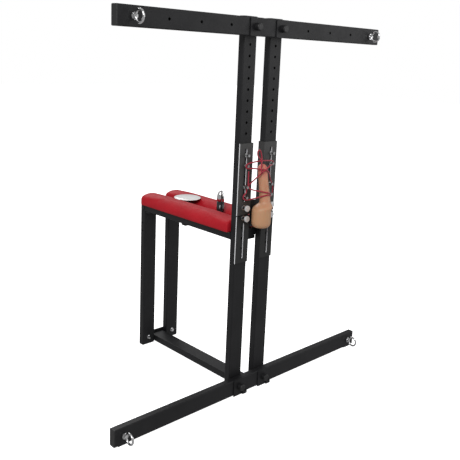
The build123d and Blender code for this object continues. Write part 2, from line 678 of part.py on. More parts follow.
def main():
    os.makedirs("parts", exist_ok=True)
    write("bottom_bar", lower_bar())
    write("top_bar", upper_bar())
    write("bar_end_plugs", bar_plugs(LOW_BAR_Z) + bar_plugs(TOP_BAR_Z))
    write("upright_left", upright(LEFT_X))
    write("upright_right", upright(RIGHT_X))
    write("upright_caps", upright_caps())
    write("clamp_plates", clamp_plates_top() + clamp_plates_low())
    write("clamp_bolts", clamp_bolts())
    write("frame_nuts", clamp_nuts() + rear_nuts())
    write("glides", glides())
    write("bench_rail_left", bench_rail(LEFT_X))
    write("bench_rail_right", bench_rail(RIGHT_X))
    write("leg_left", leg(LEFT_X))
    write("leg_right", leg(RIGHT_X))
    write("leg_caps", leg_caps())
    write("rear_crosspiece", rear_crosspiece())
    write("rear_bolts", rear_bolts())
    write("floor_rail", floor_rail())
    write("front_crosspiece", front_crosspiece())
    write("post_track", post_track())
    write("track_ties", track_ties())
    write("board_left", board(LEFT_X))
    write("board_right", board(RIGHT_X))
    write("board_screws", board_screws())
    write("cushion_left", cushion(LEFT_X))
    write("cushion_right", cushion(RIGHT_X))
    write("eye_bushes", eye_bushes())
    for name, (x, z) in zip(EYE_NAMES, EYE_PLACES):
        write(f"eye_{name}", eye(x, z))
        write(f"eye_nut_{name}", eye_nut(x, z))
    for name, x, inner in (("left", LEFT_X, 1), ("right", RIGHT_X, -1)):
        write(f"upper_bracket_{name}", bracket(x, inner, UPPER_Z, UPPER_SLOT_Z, KNOB_UPPER_Z, True))
        write(f"lower_bracket_{name}", bracket(x, inner, LOWER_Z, LOWER_SLOT_Z, KNOB_LOWER_Z, False))
        write(f"upper_knob_{name}", knob(x, KNOB_UPPER_Z, -0.1))
        write(f"lower_knob_{name}", knob(x, KNOB_LOWER_Z, 9.0))
    write("upper_knob_washers", knob_washers(KNOB_UPPER_Z))
    write("lower_knob_washers", knob_washers(KNOB_LOWER_Z))
    write("cord_pins", cord_pins())
    write("form_plate", form_plate())
    write("soft_form", soft_form())
    write("form_stud", form_stud())
    write("lacing_main", cord_tube(main_lacing()))
    write("lacing_cross", cord_tube(cross_lacing()))
    write("lacing_bow", [cord_tube(bow()), cord_tube(tail())])
    write("lacing_knot", knot())
    write("disc_carriage", carriage(DISC_Y))
    write("disc_post", disc_post())
    write("disc_head", disc_head())
    write("bullet_carriage", carriage(POST_Y))
    write("bullet_post", bullet_post())
    write("bullet_head", [bullet(), bullet_button()])


main()
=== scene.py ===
"""Looks for the restraint frame: powder-coated tubes, slotted brackets, stuffed red vinyl
cushions, a soft form with its red lacing, chrome eyes and posts.

Everything is in metres, except the cord routes and the soft form's lean, which are in
millimetres from the uprights' front face until placed() turns them into metres."""

import math
import random

import bmesh
import bpy
from mathutils import Matrix, Vector


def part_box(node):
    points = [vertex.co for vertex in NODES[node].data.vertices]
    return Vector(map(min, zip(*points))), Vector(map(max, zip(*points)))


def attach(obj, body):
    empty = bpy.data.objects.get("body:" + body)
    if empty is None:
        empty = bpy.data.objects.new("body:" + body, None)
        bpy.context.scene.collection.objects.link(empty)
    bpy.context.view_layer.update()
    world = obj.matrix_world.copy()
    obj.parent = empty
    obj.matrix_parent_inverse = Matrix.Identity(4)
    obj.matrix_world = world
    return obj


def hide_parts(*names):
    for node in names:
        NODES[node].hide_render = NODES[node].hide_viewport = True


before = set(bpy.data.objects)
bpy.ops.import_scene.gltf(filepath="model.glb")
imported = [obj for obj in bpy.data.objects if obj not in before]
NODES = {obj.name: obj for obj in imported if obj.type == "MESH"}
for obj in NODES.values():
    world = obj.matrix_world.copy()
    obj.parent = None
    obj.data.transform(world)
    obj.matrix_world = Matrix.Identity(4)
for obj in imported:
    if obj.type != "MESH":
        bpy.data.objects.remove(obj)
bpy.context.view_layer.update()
SCENE = bpy.context.scene
SIDES = ("left", "right")
EYES = ("top_left", "top_right", "low_left", "low_right")
PICTURE = 460.0                 # width and height of the render that the lens is set for
FLOOR_HALF = 14.0
KNOB_BACK = 0.0165              # the knobs' black necks end this far in front of the uprights
NO_HIGHLIGHT_REACH = 0.04               # brackets' edges nearer the middle than this get no painted highlight
TIP_TINT = (0.672, 0.700)       # heights over which the soft form turns pinker
FOOT_TINT = (0.580, 0.610)      # and paler


def middle(node):
    """Centre of a CAD node's box."""
    low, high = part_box(node)
    return (low + high) / 2


def span(node):
    """Size of a CAD node's box."""
    low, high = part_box(node)
    return high - low


# ---- camera and light -------------------------------------------------------------
def make_camera():
    """Camera three quarters from the front left, a little above the bars."""
    focal, sensor = 666.6, 36.0
    centre_x, centre_y = 254.3, 196.6
    yaw, pitch, roll = (math.radians(a) for a in (45.42, 12.161, 2.866))
    ahead = math.cos(pitch)
    forward = Vector((math.sin(yaw) * ahead, math.cos(yaw) * ahead, -math.sin(pitch)))
    level = Vector((math.cos(yaw), -math.sin(yaw), 0))
    upward = level.cross(forward)
    right = level * math.cos(roll) + upward * math.sin(roll)
    up = upward * math.cos(roll) - level * math.sin(roll)
    data = bpy.data.cameras.new("camera")
    data.lens = focal * sensor / PICTURE
    data.sensor_width = sensor
    data.shift_x = (PICTURE / 2 - centre_x) / PICTURE
    data.shift_y = (centre_y - PICTURE / 2) / PICTURE
    data.clip_start, data.clip_end = 0.02, 40
    camera = bpy.data.objects.new("camera", data)
    place = Matrix((right, up, -forward)).transposed().to_4x4()
    place.translation = (-1.390047, -1.564755, 1.031055)
    camera.matrix_world = place
    SCENE.collection.objects.link(camera)
    SCENE.camera = camera


def area_light(name, place, target, size, power):
    data = bpy.data.lights.new(name, "AREA")
    data.shape = "RECTANGLE"
    data.size, data.size_y = size
    data.energy = power
    lamp = bpy.data.objects.new(name, data)
    lamp.location = place
    aim = Vector(target) - Vector(place)
    lamp.rotation_mode = "QUATERNION"
    lamp.rotation_quaternion = aim.to_track_quat("-Z", "Y")
    SCENE.collection.objects.link(lamp)


def make_studio():
    """Seamless white studio with three large soft lights."""
    world = bpy.data.worlds.new("studio")
    world.use_nodes = True
    tree = world.node_tree
    seen = tree.nodes["Background"]
    seen.inputs["Color"].default_value = (1, 1, 1, 1)
    seen.inputs["Strength"].default_value = 1.0
    around = tree.nodes.new("ShaderNodeBackground")
    around.inputs["Color"].default_value = (1, 1, 1, 1)
    around.inputs["Strength"].default_value = 0.42
    mix = tree.nodes.new("ShaderNodeMixShader")
    tree.links.new(tree.nodes.new("ShaderNodeLightPath").outputs["Is Camera Ray"], mix.inputs[0])
    tree.links.new(around.outputs[0], mix.inputs[1])
    tree.links.new(seen.outputs[0], mix.inputs[2])
    tree.links.new(mix.outputs[0], tree.nodes["World Output"].inputs["Surface"])
    SCENE.world = world
    SCENE.view_settings.view_transform = "Standard"
    aim = (0, 0, 0.55)
    area_light("key", (-2.6, -1.6, 2.6), aim, (1.8, 1.8), 80)
    area_light("fill", (2.4, -2.2, 1.6), aim, (2.2, 2.2), 26)
    area_light("rear", (0.8, 2.8, 2.4), aim, (2.0, 1.2), 34)
    mesh = bpy.data.meshes.new("floor")
    corners = [(x * FLOOR_HALF, y * FLOOR_HALF, 0) for x, y in ((-1, -1), (1, -1), (1, 1), (-1, 1))]
    mesh.from_pydata(corners, [], [(0, 1, 2, 3)])
    floor = bpy.data.objects.new("floor", mesh)
    SCENE.collection.objects.link(floor)
    made = Shader("floor_white")
    made.set(Base_Color=(0.9, 0.9, 0.9, 1), Roughness=0.8, Emission_Color=(1, 1, 1, 1), Emission_Strength=0.9)
    made.main.inputs["Specular IOR Level"].default_value = 0.1
    mesh.materials.append(made.material)
    floor.visible_diffuse = False
    floor.visible_glossy = False


# ---- materials ------------------------------------------------------------------------
class Shader:
    """A principled material with short ways to add noise, bump and colour ramps."""

    def __init__(self, name):
        self.material = bpy.data.materials.new(name)
        self.material.use_nodes = True
        self.tree = self.material.node_tree
        self.main = self.tree.nodes["Principled BSDF"]
        self.place = self.node("ShaderNodeTexCoord").outputs["Object"]

    def node(self, kind, **values):
        made = self.tree.nodes.new(kind)
        for key, value in values.items():
            setattr(made, key, value)
        return made

    def link(self, a, b):
        self.tree.links.new(a, b)

    def set(self, **values):
        for key, value in values.items():
            self.main.inputs[key.replace("_", " ")].default_value = value

    def scaled(self, factors):
        """Object coordinates stretched along each axis."""
        mapping = self.node("ShaderNodeMapping")
        mapping.inputs["Scale"].default_value = factors
        self.link(self.place, mapping.inputs["Vector"])
        return mapping.outputs["Vector"]

    def noise(self, scale, detail=3.0, rough=0.55, vector=None):
        made = self.node("ShaderNodeTexNoise")
        made.inputs["Scale"].default_value = scale
        made.inputs["Detail"].default_value = detail
        made.inputs["Roughness"].default_value = rough
        self.link(vector or self.place, made.inputs["Vector"])
        return made.outputs["Fac"]

    def cells(self, scale):
        made = self.node("ShaderNodeTexVoronoi")
        made.inputs["Scale"].default_value = scale
        self.link(self.place, made.inputs["Vector"])
        return made.outputs["Distance"]

    def ramp(self, value, stops):
        made = self.node("ShaderNodeValToRGB")
        self.link(value, made.inputs["Fac"])
        spots = made.color_ramp.elements
        while len(spots) < len(stops):
            spots.new(0.5)
        for spot, (at, colour) in zip(spots, stops):
            spot.position = at
            spot.color = (*colour, 1)
        return made.outputs["Color"]

    def span_map(self, value, low, high, source=(0.0, 1.0)):
        """Maps a value's range to low..high."""
        made = self.node("ShaderNodeMapRange")
        made.inputs["From Min"].default_value, made.inputs["From Max"].default_value = source
        made.inputs["To Min"].default_value = low
        made.inputs["To Max"].default_value = high
        self.link(value, made.inputs["Value"])
        return made.outputs["Result"]

    def blend(self, fac, a, b):
        made = self.node("ShaderNodeMix", data_type="RGBA")
        for socket, value in ((made.inputs[0], fac), (made.inputs[6], a), (made.inputs[7], b)):
            if isinstance(value, (int, float, tuple)):
                socket.default_value = value
            else:
                self.link(value, socket)
        return made.outputs[2]

    def axis(self, name, vector=None):
        """One coordinate of a vector, the object coordinates unless another is given."""
        made = self.node("ShaderNodeSeparateXYZ")
        self.link(vector or self.place, made.inputs[0])
        return made.outputs[name]

    def math(self, operation, a, b=0.0):
        made = self.node("ShaderNodeMath", operation=operation)
        for socket, value in ((made.inputs[0], a), (made.inputs[1], b)):
            if isinstance(value, (int, float)):
                socket.default_value = value
            else:
                self.link(value, socket)
        return made.outputs[0]

    def bump(self, height, strength, distance):
        made = self.node("ShaderNodeBump")
        made.inputs["Strength"].default_value = strength
        made.inputs["Distance"].default_value = distance
        self.link(height, made.inputs["Height"])
        if self.main.inputs["Normal"].links:
            self.link(self.main.inputs["Normal"].links[0].from_socket, made.inputs["Normal"])
        self.link(made.outputs["Normal"], self.main.inputs["Normal"])

def powder_coat():
    """Satin black powder coat: fine orange peel, faint cloudiness and dust."""
    made = Shader("powder_coat")
    rough = 0.5
    cloud = made.noise(9, 5, 0.6)
    colour = made.ramp(cloud, [(0.3, (0.006, 0.006, 0.007)), (0.72, (0.012, 0.012, 0.0135))])
    dust = made.span_map(made.noise(160, 2, 0.5), 0.0, 0.12, (0.62, 0.8))
    made.link(made.blend(dust, colour, (0.06, 0.06, 0.06, 1)), made.main.inputs["Base Color"])
    made.link(made.span_map(made.noise(40, 4, 0.6), rough - 0.07, rough + 0.09), made.main.inputs["Roughness"])
    made.main.inputs["Specular IOR Level"].default_value = 0.28
    made.bump(made.noise(900, 2, 0.5), 0.18, 0.0004)
    made.bump(made.cells(420), 0.12, 0.0005)
    return made.material


def polished(name, tone, rough):
    """Plated metal with faint polishing marks."""
    made = Shader(name)
    marks = made.noise(35, 5, 0.6)
    colour = made.ramp(marks, [(0.3, (tone * 0.9,) * 3), (0.7, (tone, tone, tone * 1.02))])
    made.link(colour, made.main.inputs["Base Color"])
    made.set(Metallic=1.0)
    made.link(made.span_map(marks, rough * 0.6, rough * 1.6), made.main.inputs["Roughness"])
    made.bump(made.noise(700, 2, 0.5), 0.03, 0.0002)
    return made.material


def zinc():
    """Zinc plate: dull crystals over a satin base."""
    made = Shader("zinc_plate")
    flake = made.cells(500)
    colour = made.ramp(flake, [(0.1, (0.42, 0.42, 0.43)), (0.7, (0.62, 0.62, 0.64))])
    made.link(colour, made.main.inputs["Base Color"])
    made.set(Metallic=0.9)
    made.link(made.span_map(made.noise(90, 3, 0.5), 0.28, 0.45), made.main.inputs["Roughness"])
    return made.material


def knob_silver():
    """Satin silver knobs on black necks, lightly scratched."""
    made = Shader("knob_silver")
    marks = made.noise(160, 4, 0.6)
    silver = made.ramp(marks, [(0.3, (0.6, 0.6, 0.61)), (0.7, (0.78, 0.78, 0.78))])
    neck = made.math("GREATER_THAN", made.axis("Y"), FACE_Y - KNOB_BACK)
    made.link(made.blend(neck, silver, (0.02, 0.02, 0.02, 1)), made.main.inputs["Base Color"])
    made.set(Metallic=0.5)
    made.link(made.span_map(marks, 0.36, 0.5), made.main.inputs["Roughness"])
    return made.material


def moulded(name, tone, rough=0.5, grain=0.2):
    """Moulded black plastic with a fine grain."""
    made = Shader(name)
    cloud = made.noise(60, 4, 0.6)
    dark = tuple(c * 0.75 for c in tone)
    made.link(made.ramp(cloud, [(0.3, dark), (0.7, tone)]), made.main.inputs["Base Color"])
    made.link(made.span_map(cloud, rough - 0.08, rough + 0.08), made.main.inputs["Roughness"])
    made.bump(made.cells(1100), grain, 0.0003)
    return made.material


def red_vinyl():
    """Red upholstery vinyl: fine pebble grain with painted shade in its hollows, soft changes of tone."""
    made = Shader("red_vinyl")
    tone = made.noise(11, 4, 0.6)
    colour = made.ramp(tone, [(0.25, (0.37, 0.005, 0.013)), (0.75, (0.48, 0.009, 0.019))])
    pebble = made.cells(950)
    # painted shade: the pebble grain's hollows, where the bump is lowest, are darkened toward deep red
    pebble_painted_shade = made.blend(made.span_map(pebble, 0.22, 0.0, (0.0, 0.5)), colour, (0.2, 0.004, 0.01, 1))
    made.link(pebble_painted_shade, made.main.inputs["Base Color"])
    made.link(made.span_map(made.noise(55, 3, 0.5), 0.52, 0.68), made.main.inputs["Roughness"])
    made.main.inputs["Specular IOR Level"].default_value = 0.22
    made.bump(pebble, 0.25, 0.0006)
    made.bump(made.noise(70, 4, 0.6), 0.12, 0.0012)
    return made.material


def thread(name, tone):
    """Twisted thread: strands lit across, a little fuzz."""
    made = Shader(name)
    fibre = made.noise(1400, 3, 0.6)
    dark = tuple(c * 0.5 for c in tone)
    made.link(made.ramp(fibre, [(0.3, dark), (0.7, tone)]), made.main.inputs["Base Color"])
    made.set(Roughness=0.72, Sheen_Weight=0.3, Sheen_Roughness=0.45)
    made.bump(fibre, 0.4, 0.0004)
    return made.material


def soft_silicone():
    """Matt silicone with a gentle mottle, pinker at the tip and paler at the foot."""
    made = Shader("soft_silicone")
    mottle = made.noise(26, 5, 0.6)
    colour = made.ramp(mottle, [(0.28, (0.44, 0.2, 0.11)), (0.72, (0.56, 0.275, 0.16))])
    height = made.axis("Z")
    tip = made.span_map(height, 0.0, 1.0, TIP_TINT)
    foot = made.span_map(height, 1.0, 0.0, FOOT_TINT)
    pinker = made.blend(tip, colour, (0.58, 0.18, 0.13, 1))
    made.link(made.blend(foot, pinker, (0.5, 0.27, 0.145, 1)), made.main.inputs["Base Color"])
    made.set(Subsurface_Weight=0.18, Subsurface_Scale=0.006)
    made.main.inputs["Subsurface Radius"].default_value = (1.0, 0.35, 0.2)
    made.link(made.span_map(made.noise(90, 3, 0.5), 0.42, 0.56), made.main.inputs["Roughness"])
    made.bump(made.noise(220, 4, 0.6), 0.12, 0.0006)
    return made.material


def white_gloss():
    """Glossy white moulded plastic."""
    made = Shader("white_gloss")
    tone = made.noise(30, 3, 0.5)
    colour = made.ramp(tone, [(0.3, (0.84, 0.84, 0.83)), (0.7, (0.93, 0.93, 0.925))])
    made.link(colour, made.main.inputs["Base Color"])
    made.link(made.span_map(made.noise(120, 2, 0.5), 0.12, 0.22), made.main.inputs["Roughness"])
    made.set(Coat_Weight=0.4, Coat_Roughness=0.08)
    return made.material


def plywood():
    """Raw plywood: grain along the boards."""
    made = Shader("plywood")
    grain = made.noise(7, 6, 0.65, made.scaled((45, 4, 160)))
    colour = made.ramp(grain, [(0.3, (0.3, 0.19, 0.1)), (0.7, (0.56, 0.41, 0.26))])
    made.link(colour, made.main.inputs["Base Color"])
    made.set(Roughness=0.7)
    made.bump(grain, 0.2, 0.0005)
    return made.material


# ---- mesh helpers -----------------------------------------------------------------------
def add_mesh(name, work, body, material):
    """Turns a bmesh into a piece that rides on a body."""
    mesh = bpy.data.meshes.new(name)
    work.normal_update()
    work.to_mesh(mesh)
    work.free()
    mesh.materials.append(material)
    for face in mesh.polygons:
        face.use_smooth = True
    piece = bpy.data.objects.new(name, mesh)
    SCENE.collection.objects.link(piece)
    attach(piece, body)
    return piece


def use(piece):
    """Makes a piece the active one."""
    bpy.ops.object.select_all(action="DESELECT")
    piece.select_set(True)
    bpy.context.view_layer.objects.active = piece


def apply_all(piece):
    """Applies a piece's modifiers to its mesh."""
    use(piece)
    for modifier in list(piece.modifiers):
        bpy.ops.object.modifier_apply(modifier=modifier.name)


def lathe(work, profile, centre, steps, twist=None):
    """Adds a closed turned shape about Z; profile is (radius, height) from end to end."""
    centre = Vector(centre)
    rings = []
    for radius, along in profile:
        ring = []
        count = 1 if radius <= 1e-6 else steps
        for n in range(count):
            a = 2 * math.pi * n / steps
            r = radius * (twist(a, along) if twist and count > 1 else 1)
            ring.append(work.verts.new(centre + Vector((r * math.cos(a), r * math.sin(a), along))))
        rings.append(ring)
    for one, two in zip(rings, rings[1:]):
        for n in range(steps):
            m = (n + 1) % steps
            if len(one) == 1 and len(two) > 1:
                work.faces.new((one[0], two[n], two[m]))
            elif len(two) == 1 and len(one) > 1:
                work.faces.new((one[n], two[0], one[m]))
            elif len(one) > 1:
                work.faces.new((one[n], two[n], two[m], one[m]))
    bmesh.ops.recalc_face_normals(work, faces=work.faces)


# ---- soft form and lacing -----------------------------------------------------------------
def smoothstep(t):
    """Eased step from 0 to 1."""
    t = min(1.0, max(0.0, t))
    return t * t * (3 - 2 * t)


# ---- cord routes: the same points as the CAD tubes, in millimetres ---------------------------
MIDDLE_X = middle("form_plate").x
FACE_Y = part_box("upright_left")[0].y
LEFT, RIGHT = middle("upright_left").x * 1000, middle("upright_right").x * 1000
Z2, Z3, Z4 = (1053 - 31 * n for n in (11, 13, 14))     # heights of three pins a side
CORD = 2.0                      # radius of the cord
WRAP = 3.0 + CORD + 2.0         # route's points round a pin
INNER = -7.3                    # two layers of cord on the pins
OUTER = INNER - 4.1
KNOT = (-18.0, -24.0, 727.0)
LOW, TIP = (-6.0, -41.0, 575.0), (-12.2, -24.5, 702.5)  # ends of the column's leaning axis
BASE_X, BASE_Y = -18.0, -35.0   # axis of the soft form's base


def placed(points):
    """Millimetres from the uprights' front face to the frame's metres."""
    return [(x / 1000, FACE_Y + y / 1000, z / 1000) for x, y, z in points]


def lean(z):
    """Axis of the soft form's column at a height."""
    t = min(1.0, (z - LOW[2]) / (TIP[2] - LOW[2]))
    return LOW[0] + t * (TIP[0] - LOW[0]), LOW[1] + t * (TIP[1] - LOW[1])


def round_front(z_left, z_front, z_right, radius=18.7):
    """Three points of a route round the column's front, from left to right."""
    spots = []
    for angle, z in ((228, z_left), (268, z_front), (308, z_right)):
        x, y = lean(z)
        a = math.radians(angle)
        spots.append((x + radius * math.cos(a), y + radius * math.sin(a), z))
    return spots


def main_route():
    """Knot, left pins, down across to the right pins, and back up to the knot."""
    x, y, z = KNOT
    return placed([
        (x - 3.4, y + 1.5, z - 1),
        (LEFT + 25, -17, Z2 + 11.5),
        (LEFT + 4, OUTER, Z2 + 8),
        (LEFT - WRAP, OUTER, Z2 + 1),
        (LEFT - 1, OUTER - 0.6, Z2 - WRAP - 1),
        (LEFT + 15, OUTER - 6, Z2 - 6),
        *round_front(703, 700, 694),
        (RIGHT - 10, OUTER - 5, Z3 + 14),
        (RIGHT + WRAP, OUTER, Z3 - 1),
        (RIGHT + WRAP + 1, OUTER, Z3 - 16),
        (RIGHT + WRAP, OUTER, Z4 - 1),
        (RIGHT, OUTER - 0.6, Z4 - WRAP - 1),
        (RIGHT - 17, OUTER - 14, Z4 - 2),
        *reversed(round_front(627.5, 629.5, 625.5)),
        (LEFT + 15, INNER - 8, Z4 - 6),
        (LEFT, INNER, Z4 - WRAP - 1),
        (LEFT - WRAP - 1, INNER, Z4 - 1),
        (LEFT - WRAP + 2, INNER, Z4 + 8),
        (LEFT + 5, INNER, Z4 + 14),
        (LEFT + 6, INNER, Z3 - 4),
        (LEFT + 11, INNER - 3, Z3 + 7),
        *round_front(697, 709, 716, 23.3),
        (RIGHT - 6, OUTER - 4, Z2 - 4.5),
        (RIGHT + WRAP, OUTER, Z2 + 1),
        (RIGHT, OUTER - 0.6, Z2 + WRAP + 2),
        (RIGHT - 20, -17, Z2 + 10.5),
        (x + 3.4, y + 1.5, z - 0.5),
    ])


def cross_route():
    """The second cord: down the left pins' inner side, then across to the last right pin."""
    return placed([
        (LEFT + 5, OUTER - 1.5, Z2 - 15),
        (LEFT + 6, OUTER - 1, Z3 + 26),
        (LEFT + 5.2, OUTER - 1.5, Z3 - 1),
        (LEFT + 15, OUTER - 8, Z3 - 8),
        *round_front(637.5, 635, 631.5),
        (RIGHT - 17, OUTER - 8, Z4 + 5),
        (RIGHT - 1.5, INNER, Z4 + WRAP),
    ])


def bow_route():
    """One open loop of the bow above the knot."""
    x, y, z = KNOT
    return placed([
        (x - 2.3, y - 0.5, z + 3.2),
        (x - 12, y - 1, z + 10),
        (x - 19, y - 2, z + 19),
        (x - 18, y - 2, z + 30),
        (x - 9, y - 1, z + 32.5),
        (x - 3, y - 0.5, z + 23),
        (x + 0.5, y, z + 13),
        (x + 2.3, y - 0.5, z + 3.2),
    ])


def tail_route():
    """The free end of the cord below the knot."""
    x, y, z = KNOT
    return placed([
        (x - 0.8, y - 2.8, z - 2.6),
        (x - 9, y - 10, z - 8),
        (x - 15, y - 16, z - 18),
        (x - 17, y - 19, z - 31),
    ])


def make_cord(name, points, material):
    """One cord as a smooth curve through its route, with its real round section."""
    curve = bpy.data.curves.new(name, "CURVE")
    curve.dimensions = "3D"
    spline = curve.splines.new("NURBS")
    spline.points.add(len(points) - 1)
    for point, place in zip(spline.points, points):
        point.co = (*place, 1)
    spline.order_u = 3
    spline.use_endpoint_u = True
    spline.resolution_u = 8
    curve.bevel_depth = CORD / 1000
    curve.bevel_resolution = 4
    curve.use_fill_caps = True
    curve.materials.append(material)
    piece = bpy.data.objects.new(name, curve)
    SCENE.collection.objects.link(piece)
    bpy.context.view_layer.update()
    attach(piece, "carrier")
    return piece


def make_knot(material):
    """A tight overhand knot: three turns of cord over each other."""
    centre = Vector(placed([KNOT])[0])
    reach, thick = 0.0038, 0.0019
    steps, sides = 36, 12
    work = bmesh.new()
    for turn in range(3):
        about = Matrix.Rotation(math.radians(60 * turn + 20), 3, "Y")
        tilt = about @ Matrix.Rotation(math.radians(35 + 20 * turn), 3, "X")
        loops = []
        for n in range(steps):
            a = 2 * math.pi * n / steps
            out = Vector((math.cos(a), math.sin(a), 0))
            loop = []
            for k in range(sides):
                b = 2 * math.pi * k / sides
                spot = out * (reach + thick * math.cos(b)) + Vector((0, 0, thick * math.sin(b)))
                loop.append(work.verts.new(centre + tilt @ spot))
            loops.append(loop)
        for n in range(steps):
            for k in range(sides):
                one, two = loops[n], loops[(n + 1) % steps]
                work.faces.new((one[k], two[k], two[(k + 1) % sides], one[(k + 1) % sides]))
    bmesh.ops.recalc_face_normals(work, faces=work.faces)
    piece = add_mesh("knot_turns", work, "carrier", material)
    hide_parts("lacing_knot")
    return piece


def make_lacing():
    """The red cord with its knot, bow and tail."""
    material = thread("cord_red", (0.42, 0.008, 0.035))
    knot = make_knot(material)
    main = make_cord("lacing_pass_one", main_route(), material)
    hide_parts("lacing_main")
    cross = make_cord("lacing_pass_two", cross_route(), material)
    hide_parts("lacing_cross")
    bow = make_cord("lacing_bow_loop", bow_route(), material)
    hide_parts("lacing_bow")
    tail = make_cord("lacing_tail", tail_route(), material)
    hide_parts("lacing_bow")


def form_radius(height):
    """Radius of the soft form at a height above its base, base 57 mm wide and column 36 mm."""
    top = span("soft_form").z
    base, column = 0.0284, 0.0164 - 0.002 * smoothstep((height - 0.07) / 0.06)
    mix = smoothstep((height - 0.058) / 0.018)
    radius = base + (column - base) * mix
    low = 0.017
    if height < low:
        radius *= 0.6 + 0.4 * math.sqrt(max(0.0, 1 - (1 - height / low) ** 2))
    crown = 0.0155
    if height > top - crown:
        radius *= math.sqrt(max(0.0, 1 - ((height - top + crown) / crown) ** 2))
    return radius


def make_soft_form():
    """Plain rounded column on a wider rounded base, one skin, leaning back a little."""
    low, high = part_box("soft_form")
    height = high.z - low.z
    rings = 96
    profile = [(0.0, low.z)]
    for n in range(rings + 1):
        share = 0.5 - 0.5 * math.cos(math.pi * n / rings)
        radius = max(form_radius(share * height), 0.0008)
        profile.append((radius, low.z + 0.0002 + share * (height - 0.0004)))
    profile.append((0.0, high.z))
    work = bmesh.new()
    lathe(work, profile, (0, 0, 0), steps=72)
    for vert in work.verts:
        x, y = lean(vert.co.z * 1000)
        mix = smoothstep((vert.co.z - low.z - 0.05) / 0.026)
        vert.co.x += (x * mix + BASE_X * (1 - mix)) / 1000
        vert.co.y += FACE_Y + (y * mix + BASE_Y * (1 - mix)) / 1000
    bmesh.ops.recalc_face_normals(work, faces=work.faces)
    piece = add_mesh("soft_form_skin", work, "carrier", soft_silicone())
    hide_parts("soft_form")


# ---- cushions ---------------------------------------------------------------------------------
def cushion_section(half, height, rise):
    """Closed cross-section of a cushion: flat underside, straight sides, crowned top."""
    side = height - rise
    points = []
    for n in range(7):
        points.append((-half + 0.0015 + (2 * half - 0.003) * n / 6, 0.0))
    for n in range(1, 5):
        up = n / 5
        points.append((half - 0.0008 * (1 - math.sin(math.pi * up)), side * 0.8 * up))
    steps = 18
    for n in range(steps + 1):
        u = 1 - 2 * n / steps
        shoulder = max(0.0, (abs(u) - 0.84) / 0.16)
        points.append((half * u, side + rise * (1 - u * u) - side * 0.2 * shoulder ** 2))
    for n in range(4, 0, -1):
        up = n / 5
        points.append((-half + 0.0008 * (1 - math.sin(math.pi * up)), side * 0.8 * up))
    return points


def make_cushion(side, material):
    """A long narrow cushion, swollen by cloth simulation, with its flat underside held on the board."""
    node = f"cushion_{side}"
    low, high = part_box(node)
    centre_x, length = (low.x + high.x) / 2, high.y - low.y
    inset = 0.0006
    half = (high.x - low.x) / 2 - inset
    height = high.z - low.z - inset
    outline = cushion_section(half, height, 0.0095)
    work = bmesh.new()
    stations = 72
    end = 0.005
    loops = []
    for n in range(stations + 1):
        along = inset + (length - 2 * inset) * n / stations
        near = min(along - inset, length - inset - along)
        turn = 1 - math.sqrt(max(0.0, 1 - (1 - min(1.0, near / end)) ** 2))
        loop = []
        for x, z in outline:
            place = (centre_x + x * (1 - 0.03 * turn), low.y + along, low.z + z * (1 - 0.035 * turn))
            loop.append(work.verts.new(place))
        loops.append(loop)
    count = len(outline)
    for one, two in zip(loops, loops[1:]):
        for k in range(count):
            work.faces.new((one[k], two[k], two[(k + 1) % count], one[(k + 1) % count]))
    work.faces.new(loops[0][::-1])
    work.faces.new(loops[-1])
    bmesh.ops.recalc_face_normals(work, faces=work.faces)
    piece = add_mesh(f"{node}_cover", work, "frame", material)
    piece.parent = None
    remesh = piece.modifiers.new("even", "REMESH")
    remesh.mode = "VOXEL"
    remesh.voxel_size = 0.0032
    apply_all(piece)
    swell(piece, low.z)
    settle(piece, low, high)
    piece.modifiers.new("round", "SUBSURF").levels = 1
    apply_all(piece)
    for face in piece.data.polygons:
        face.use_smooth = True
    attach(piece, "frame")
    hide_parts(node)


def swell(piece, floor_z):
    """Blows the cover up against its own stretch, held along the board."""
    group = piece.vertex_groups.new(name="held")
    group.add([v.index for v in piece.data.vertices if v.co.z < floor_z + 0.0025], 1.0, "REPLACE")
    cloth = piece.modifiers.new("cloth", "CLOTH")
    cloth.settings.quality = 6
    cloth.settings.mass = 0.3
    cloth.settings.tension_stiffness = cloth.settings.compression_stiffness = 30
    cloth.settings.bending_stiffness = 1.0
    cloth.settings.use_pressure = True
    cloth.settings.uniform_pressure_force = 4.0
    cloth.settings.vertex_group_mass = "held"
    cloth.settings.effector_weights.gravity = 0
    cloth.point_cache.frame_start, cloth.point_cache.frame_end = 1, 20
    for step in range(1, cloth.point_cache.frame_end + 1):
        SCENE.frame_set(step)
    apply_all(piece)
    SCENE.frame_set(1)


def settle(piece, low, high):
    """Keeps the cover in its space and adds the small unevenness of stretched vinyl."""
    rng = random.Random(7)
    waves = [(rng.uniform(20, 60), rng.uniform(0, 6.28), rng.uniform(0.1, 0.3)) for _ in range(6)]
    for vert in piece.data.vertices:
        x, y, z = vert.co
        top = smoothstep((z - low.z) / (high.z - low.z))
        ripple = sum(a * math.sin(f * y + p + 30 * x) for f, p, a in waves) * 0.0007 * top
        vert.co.x = min(high.x, max(low.x, x))
        vert.co.y = min(high.y, max(low.y, y))
        vert.co.z = min(high.z + 0.0015, max(low.z, z + ripple))


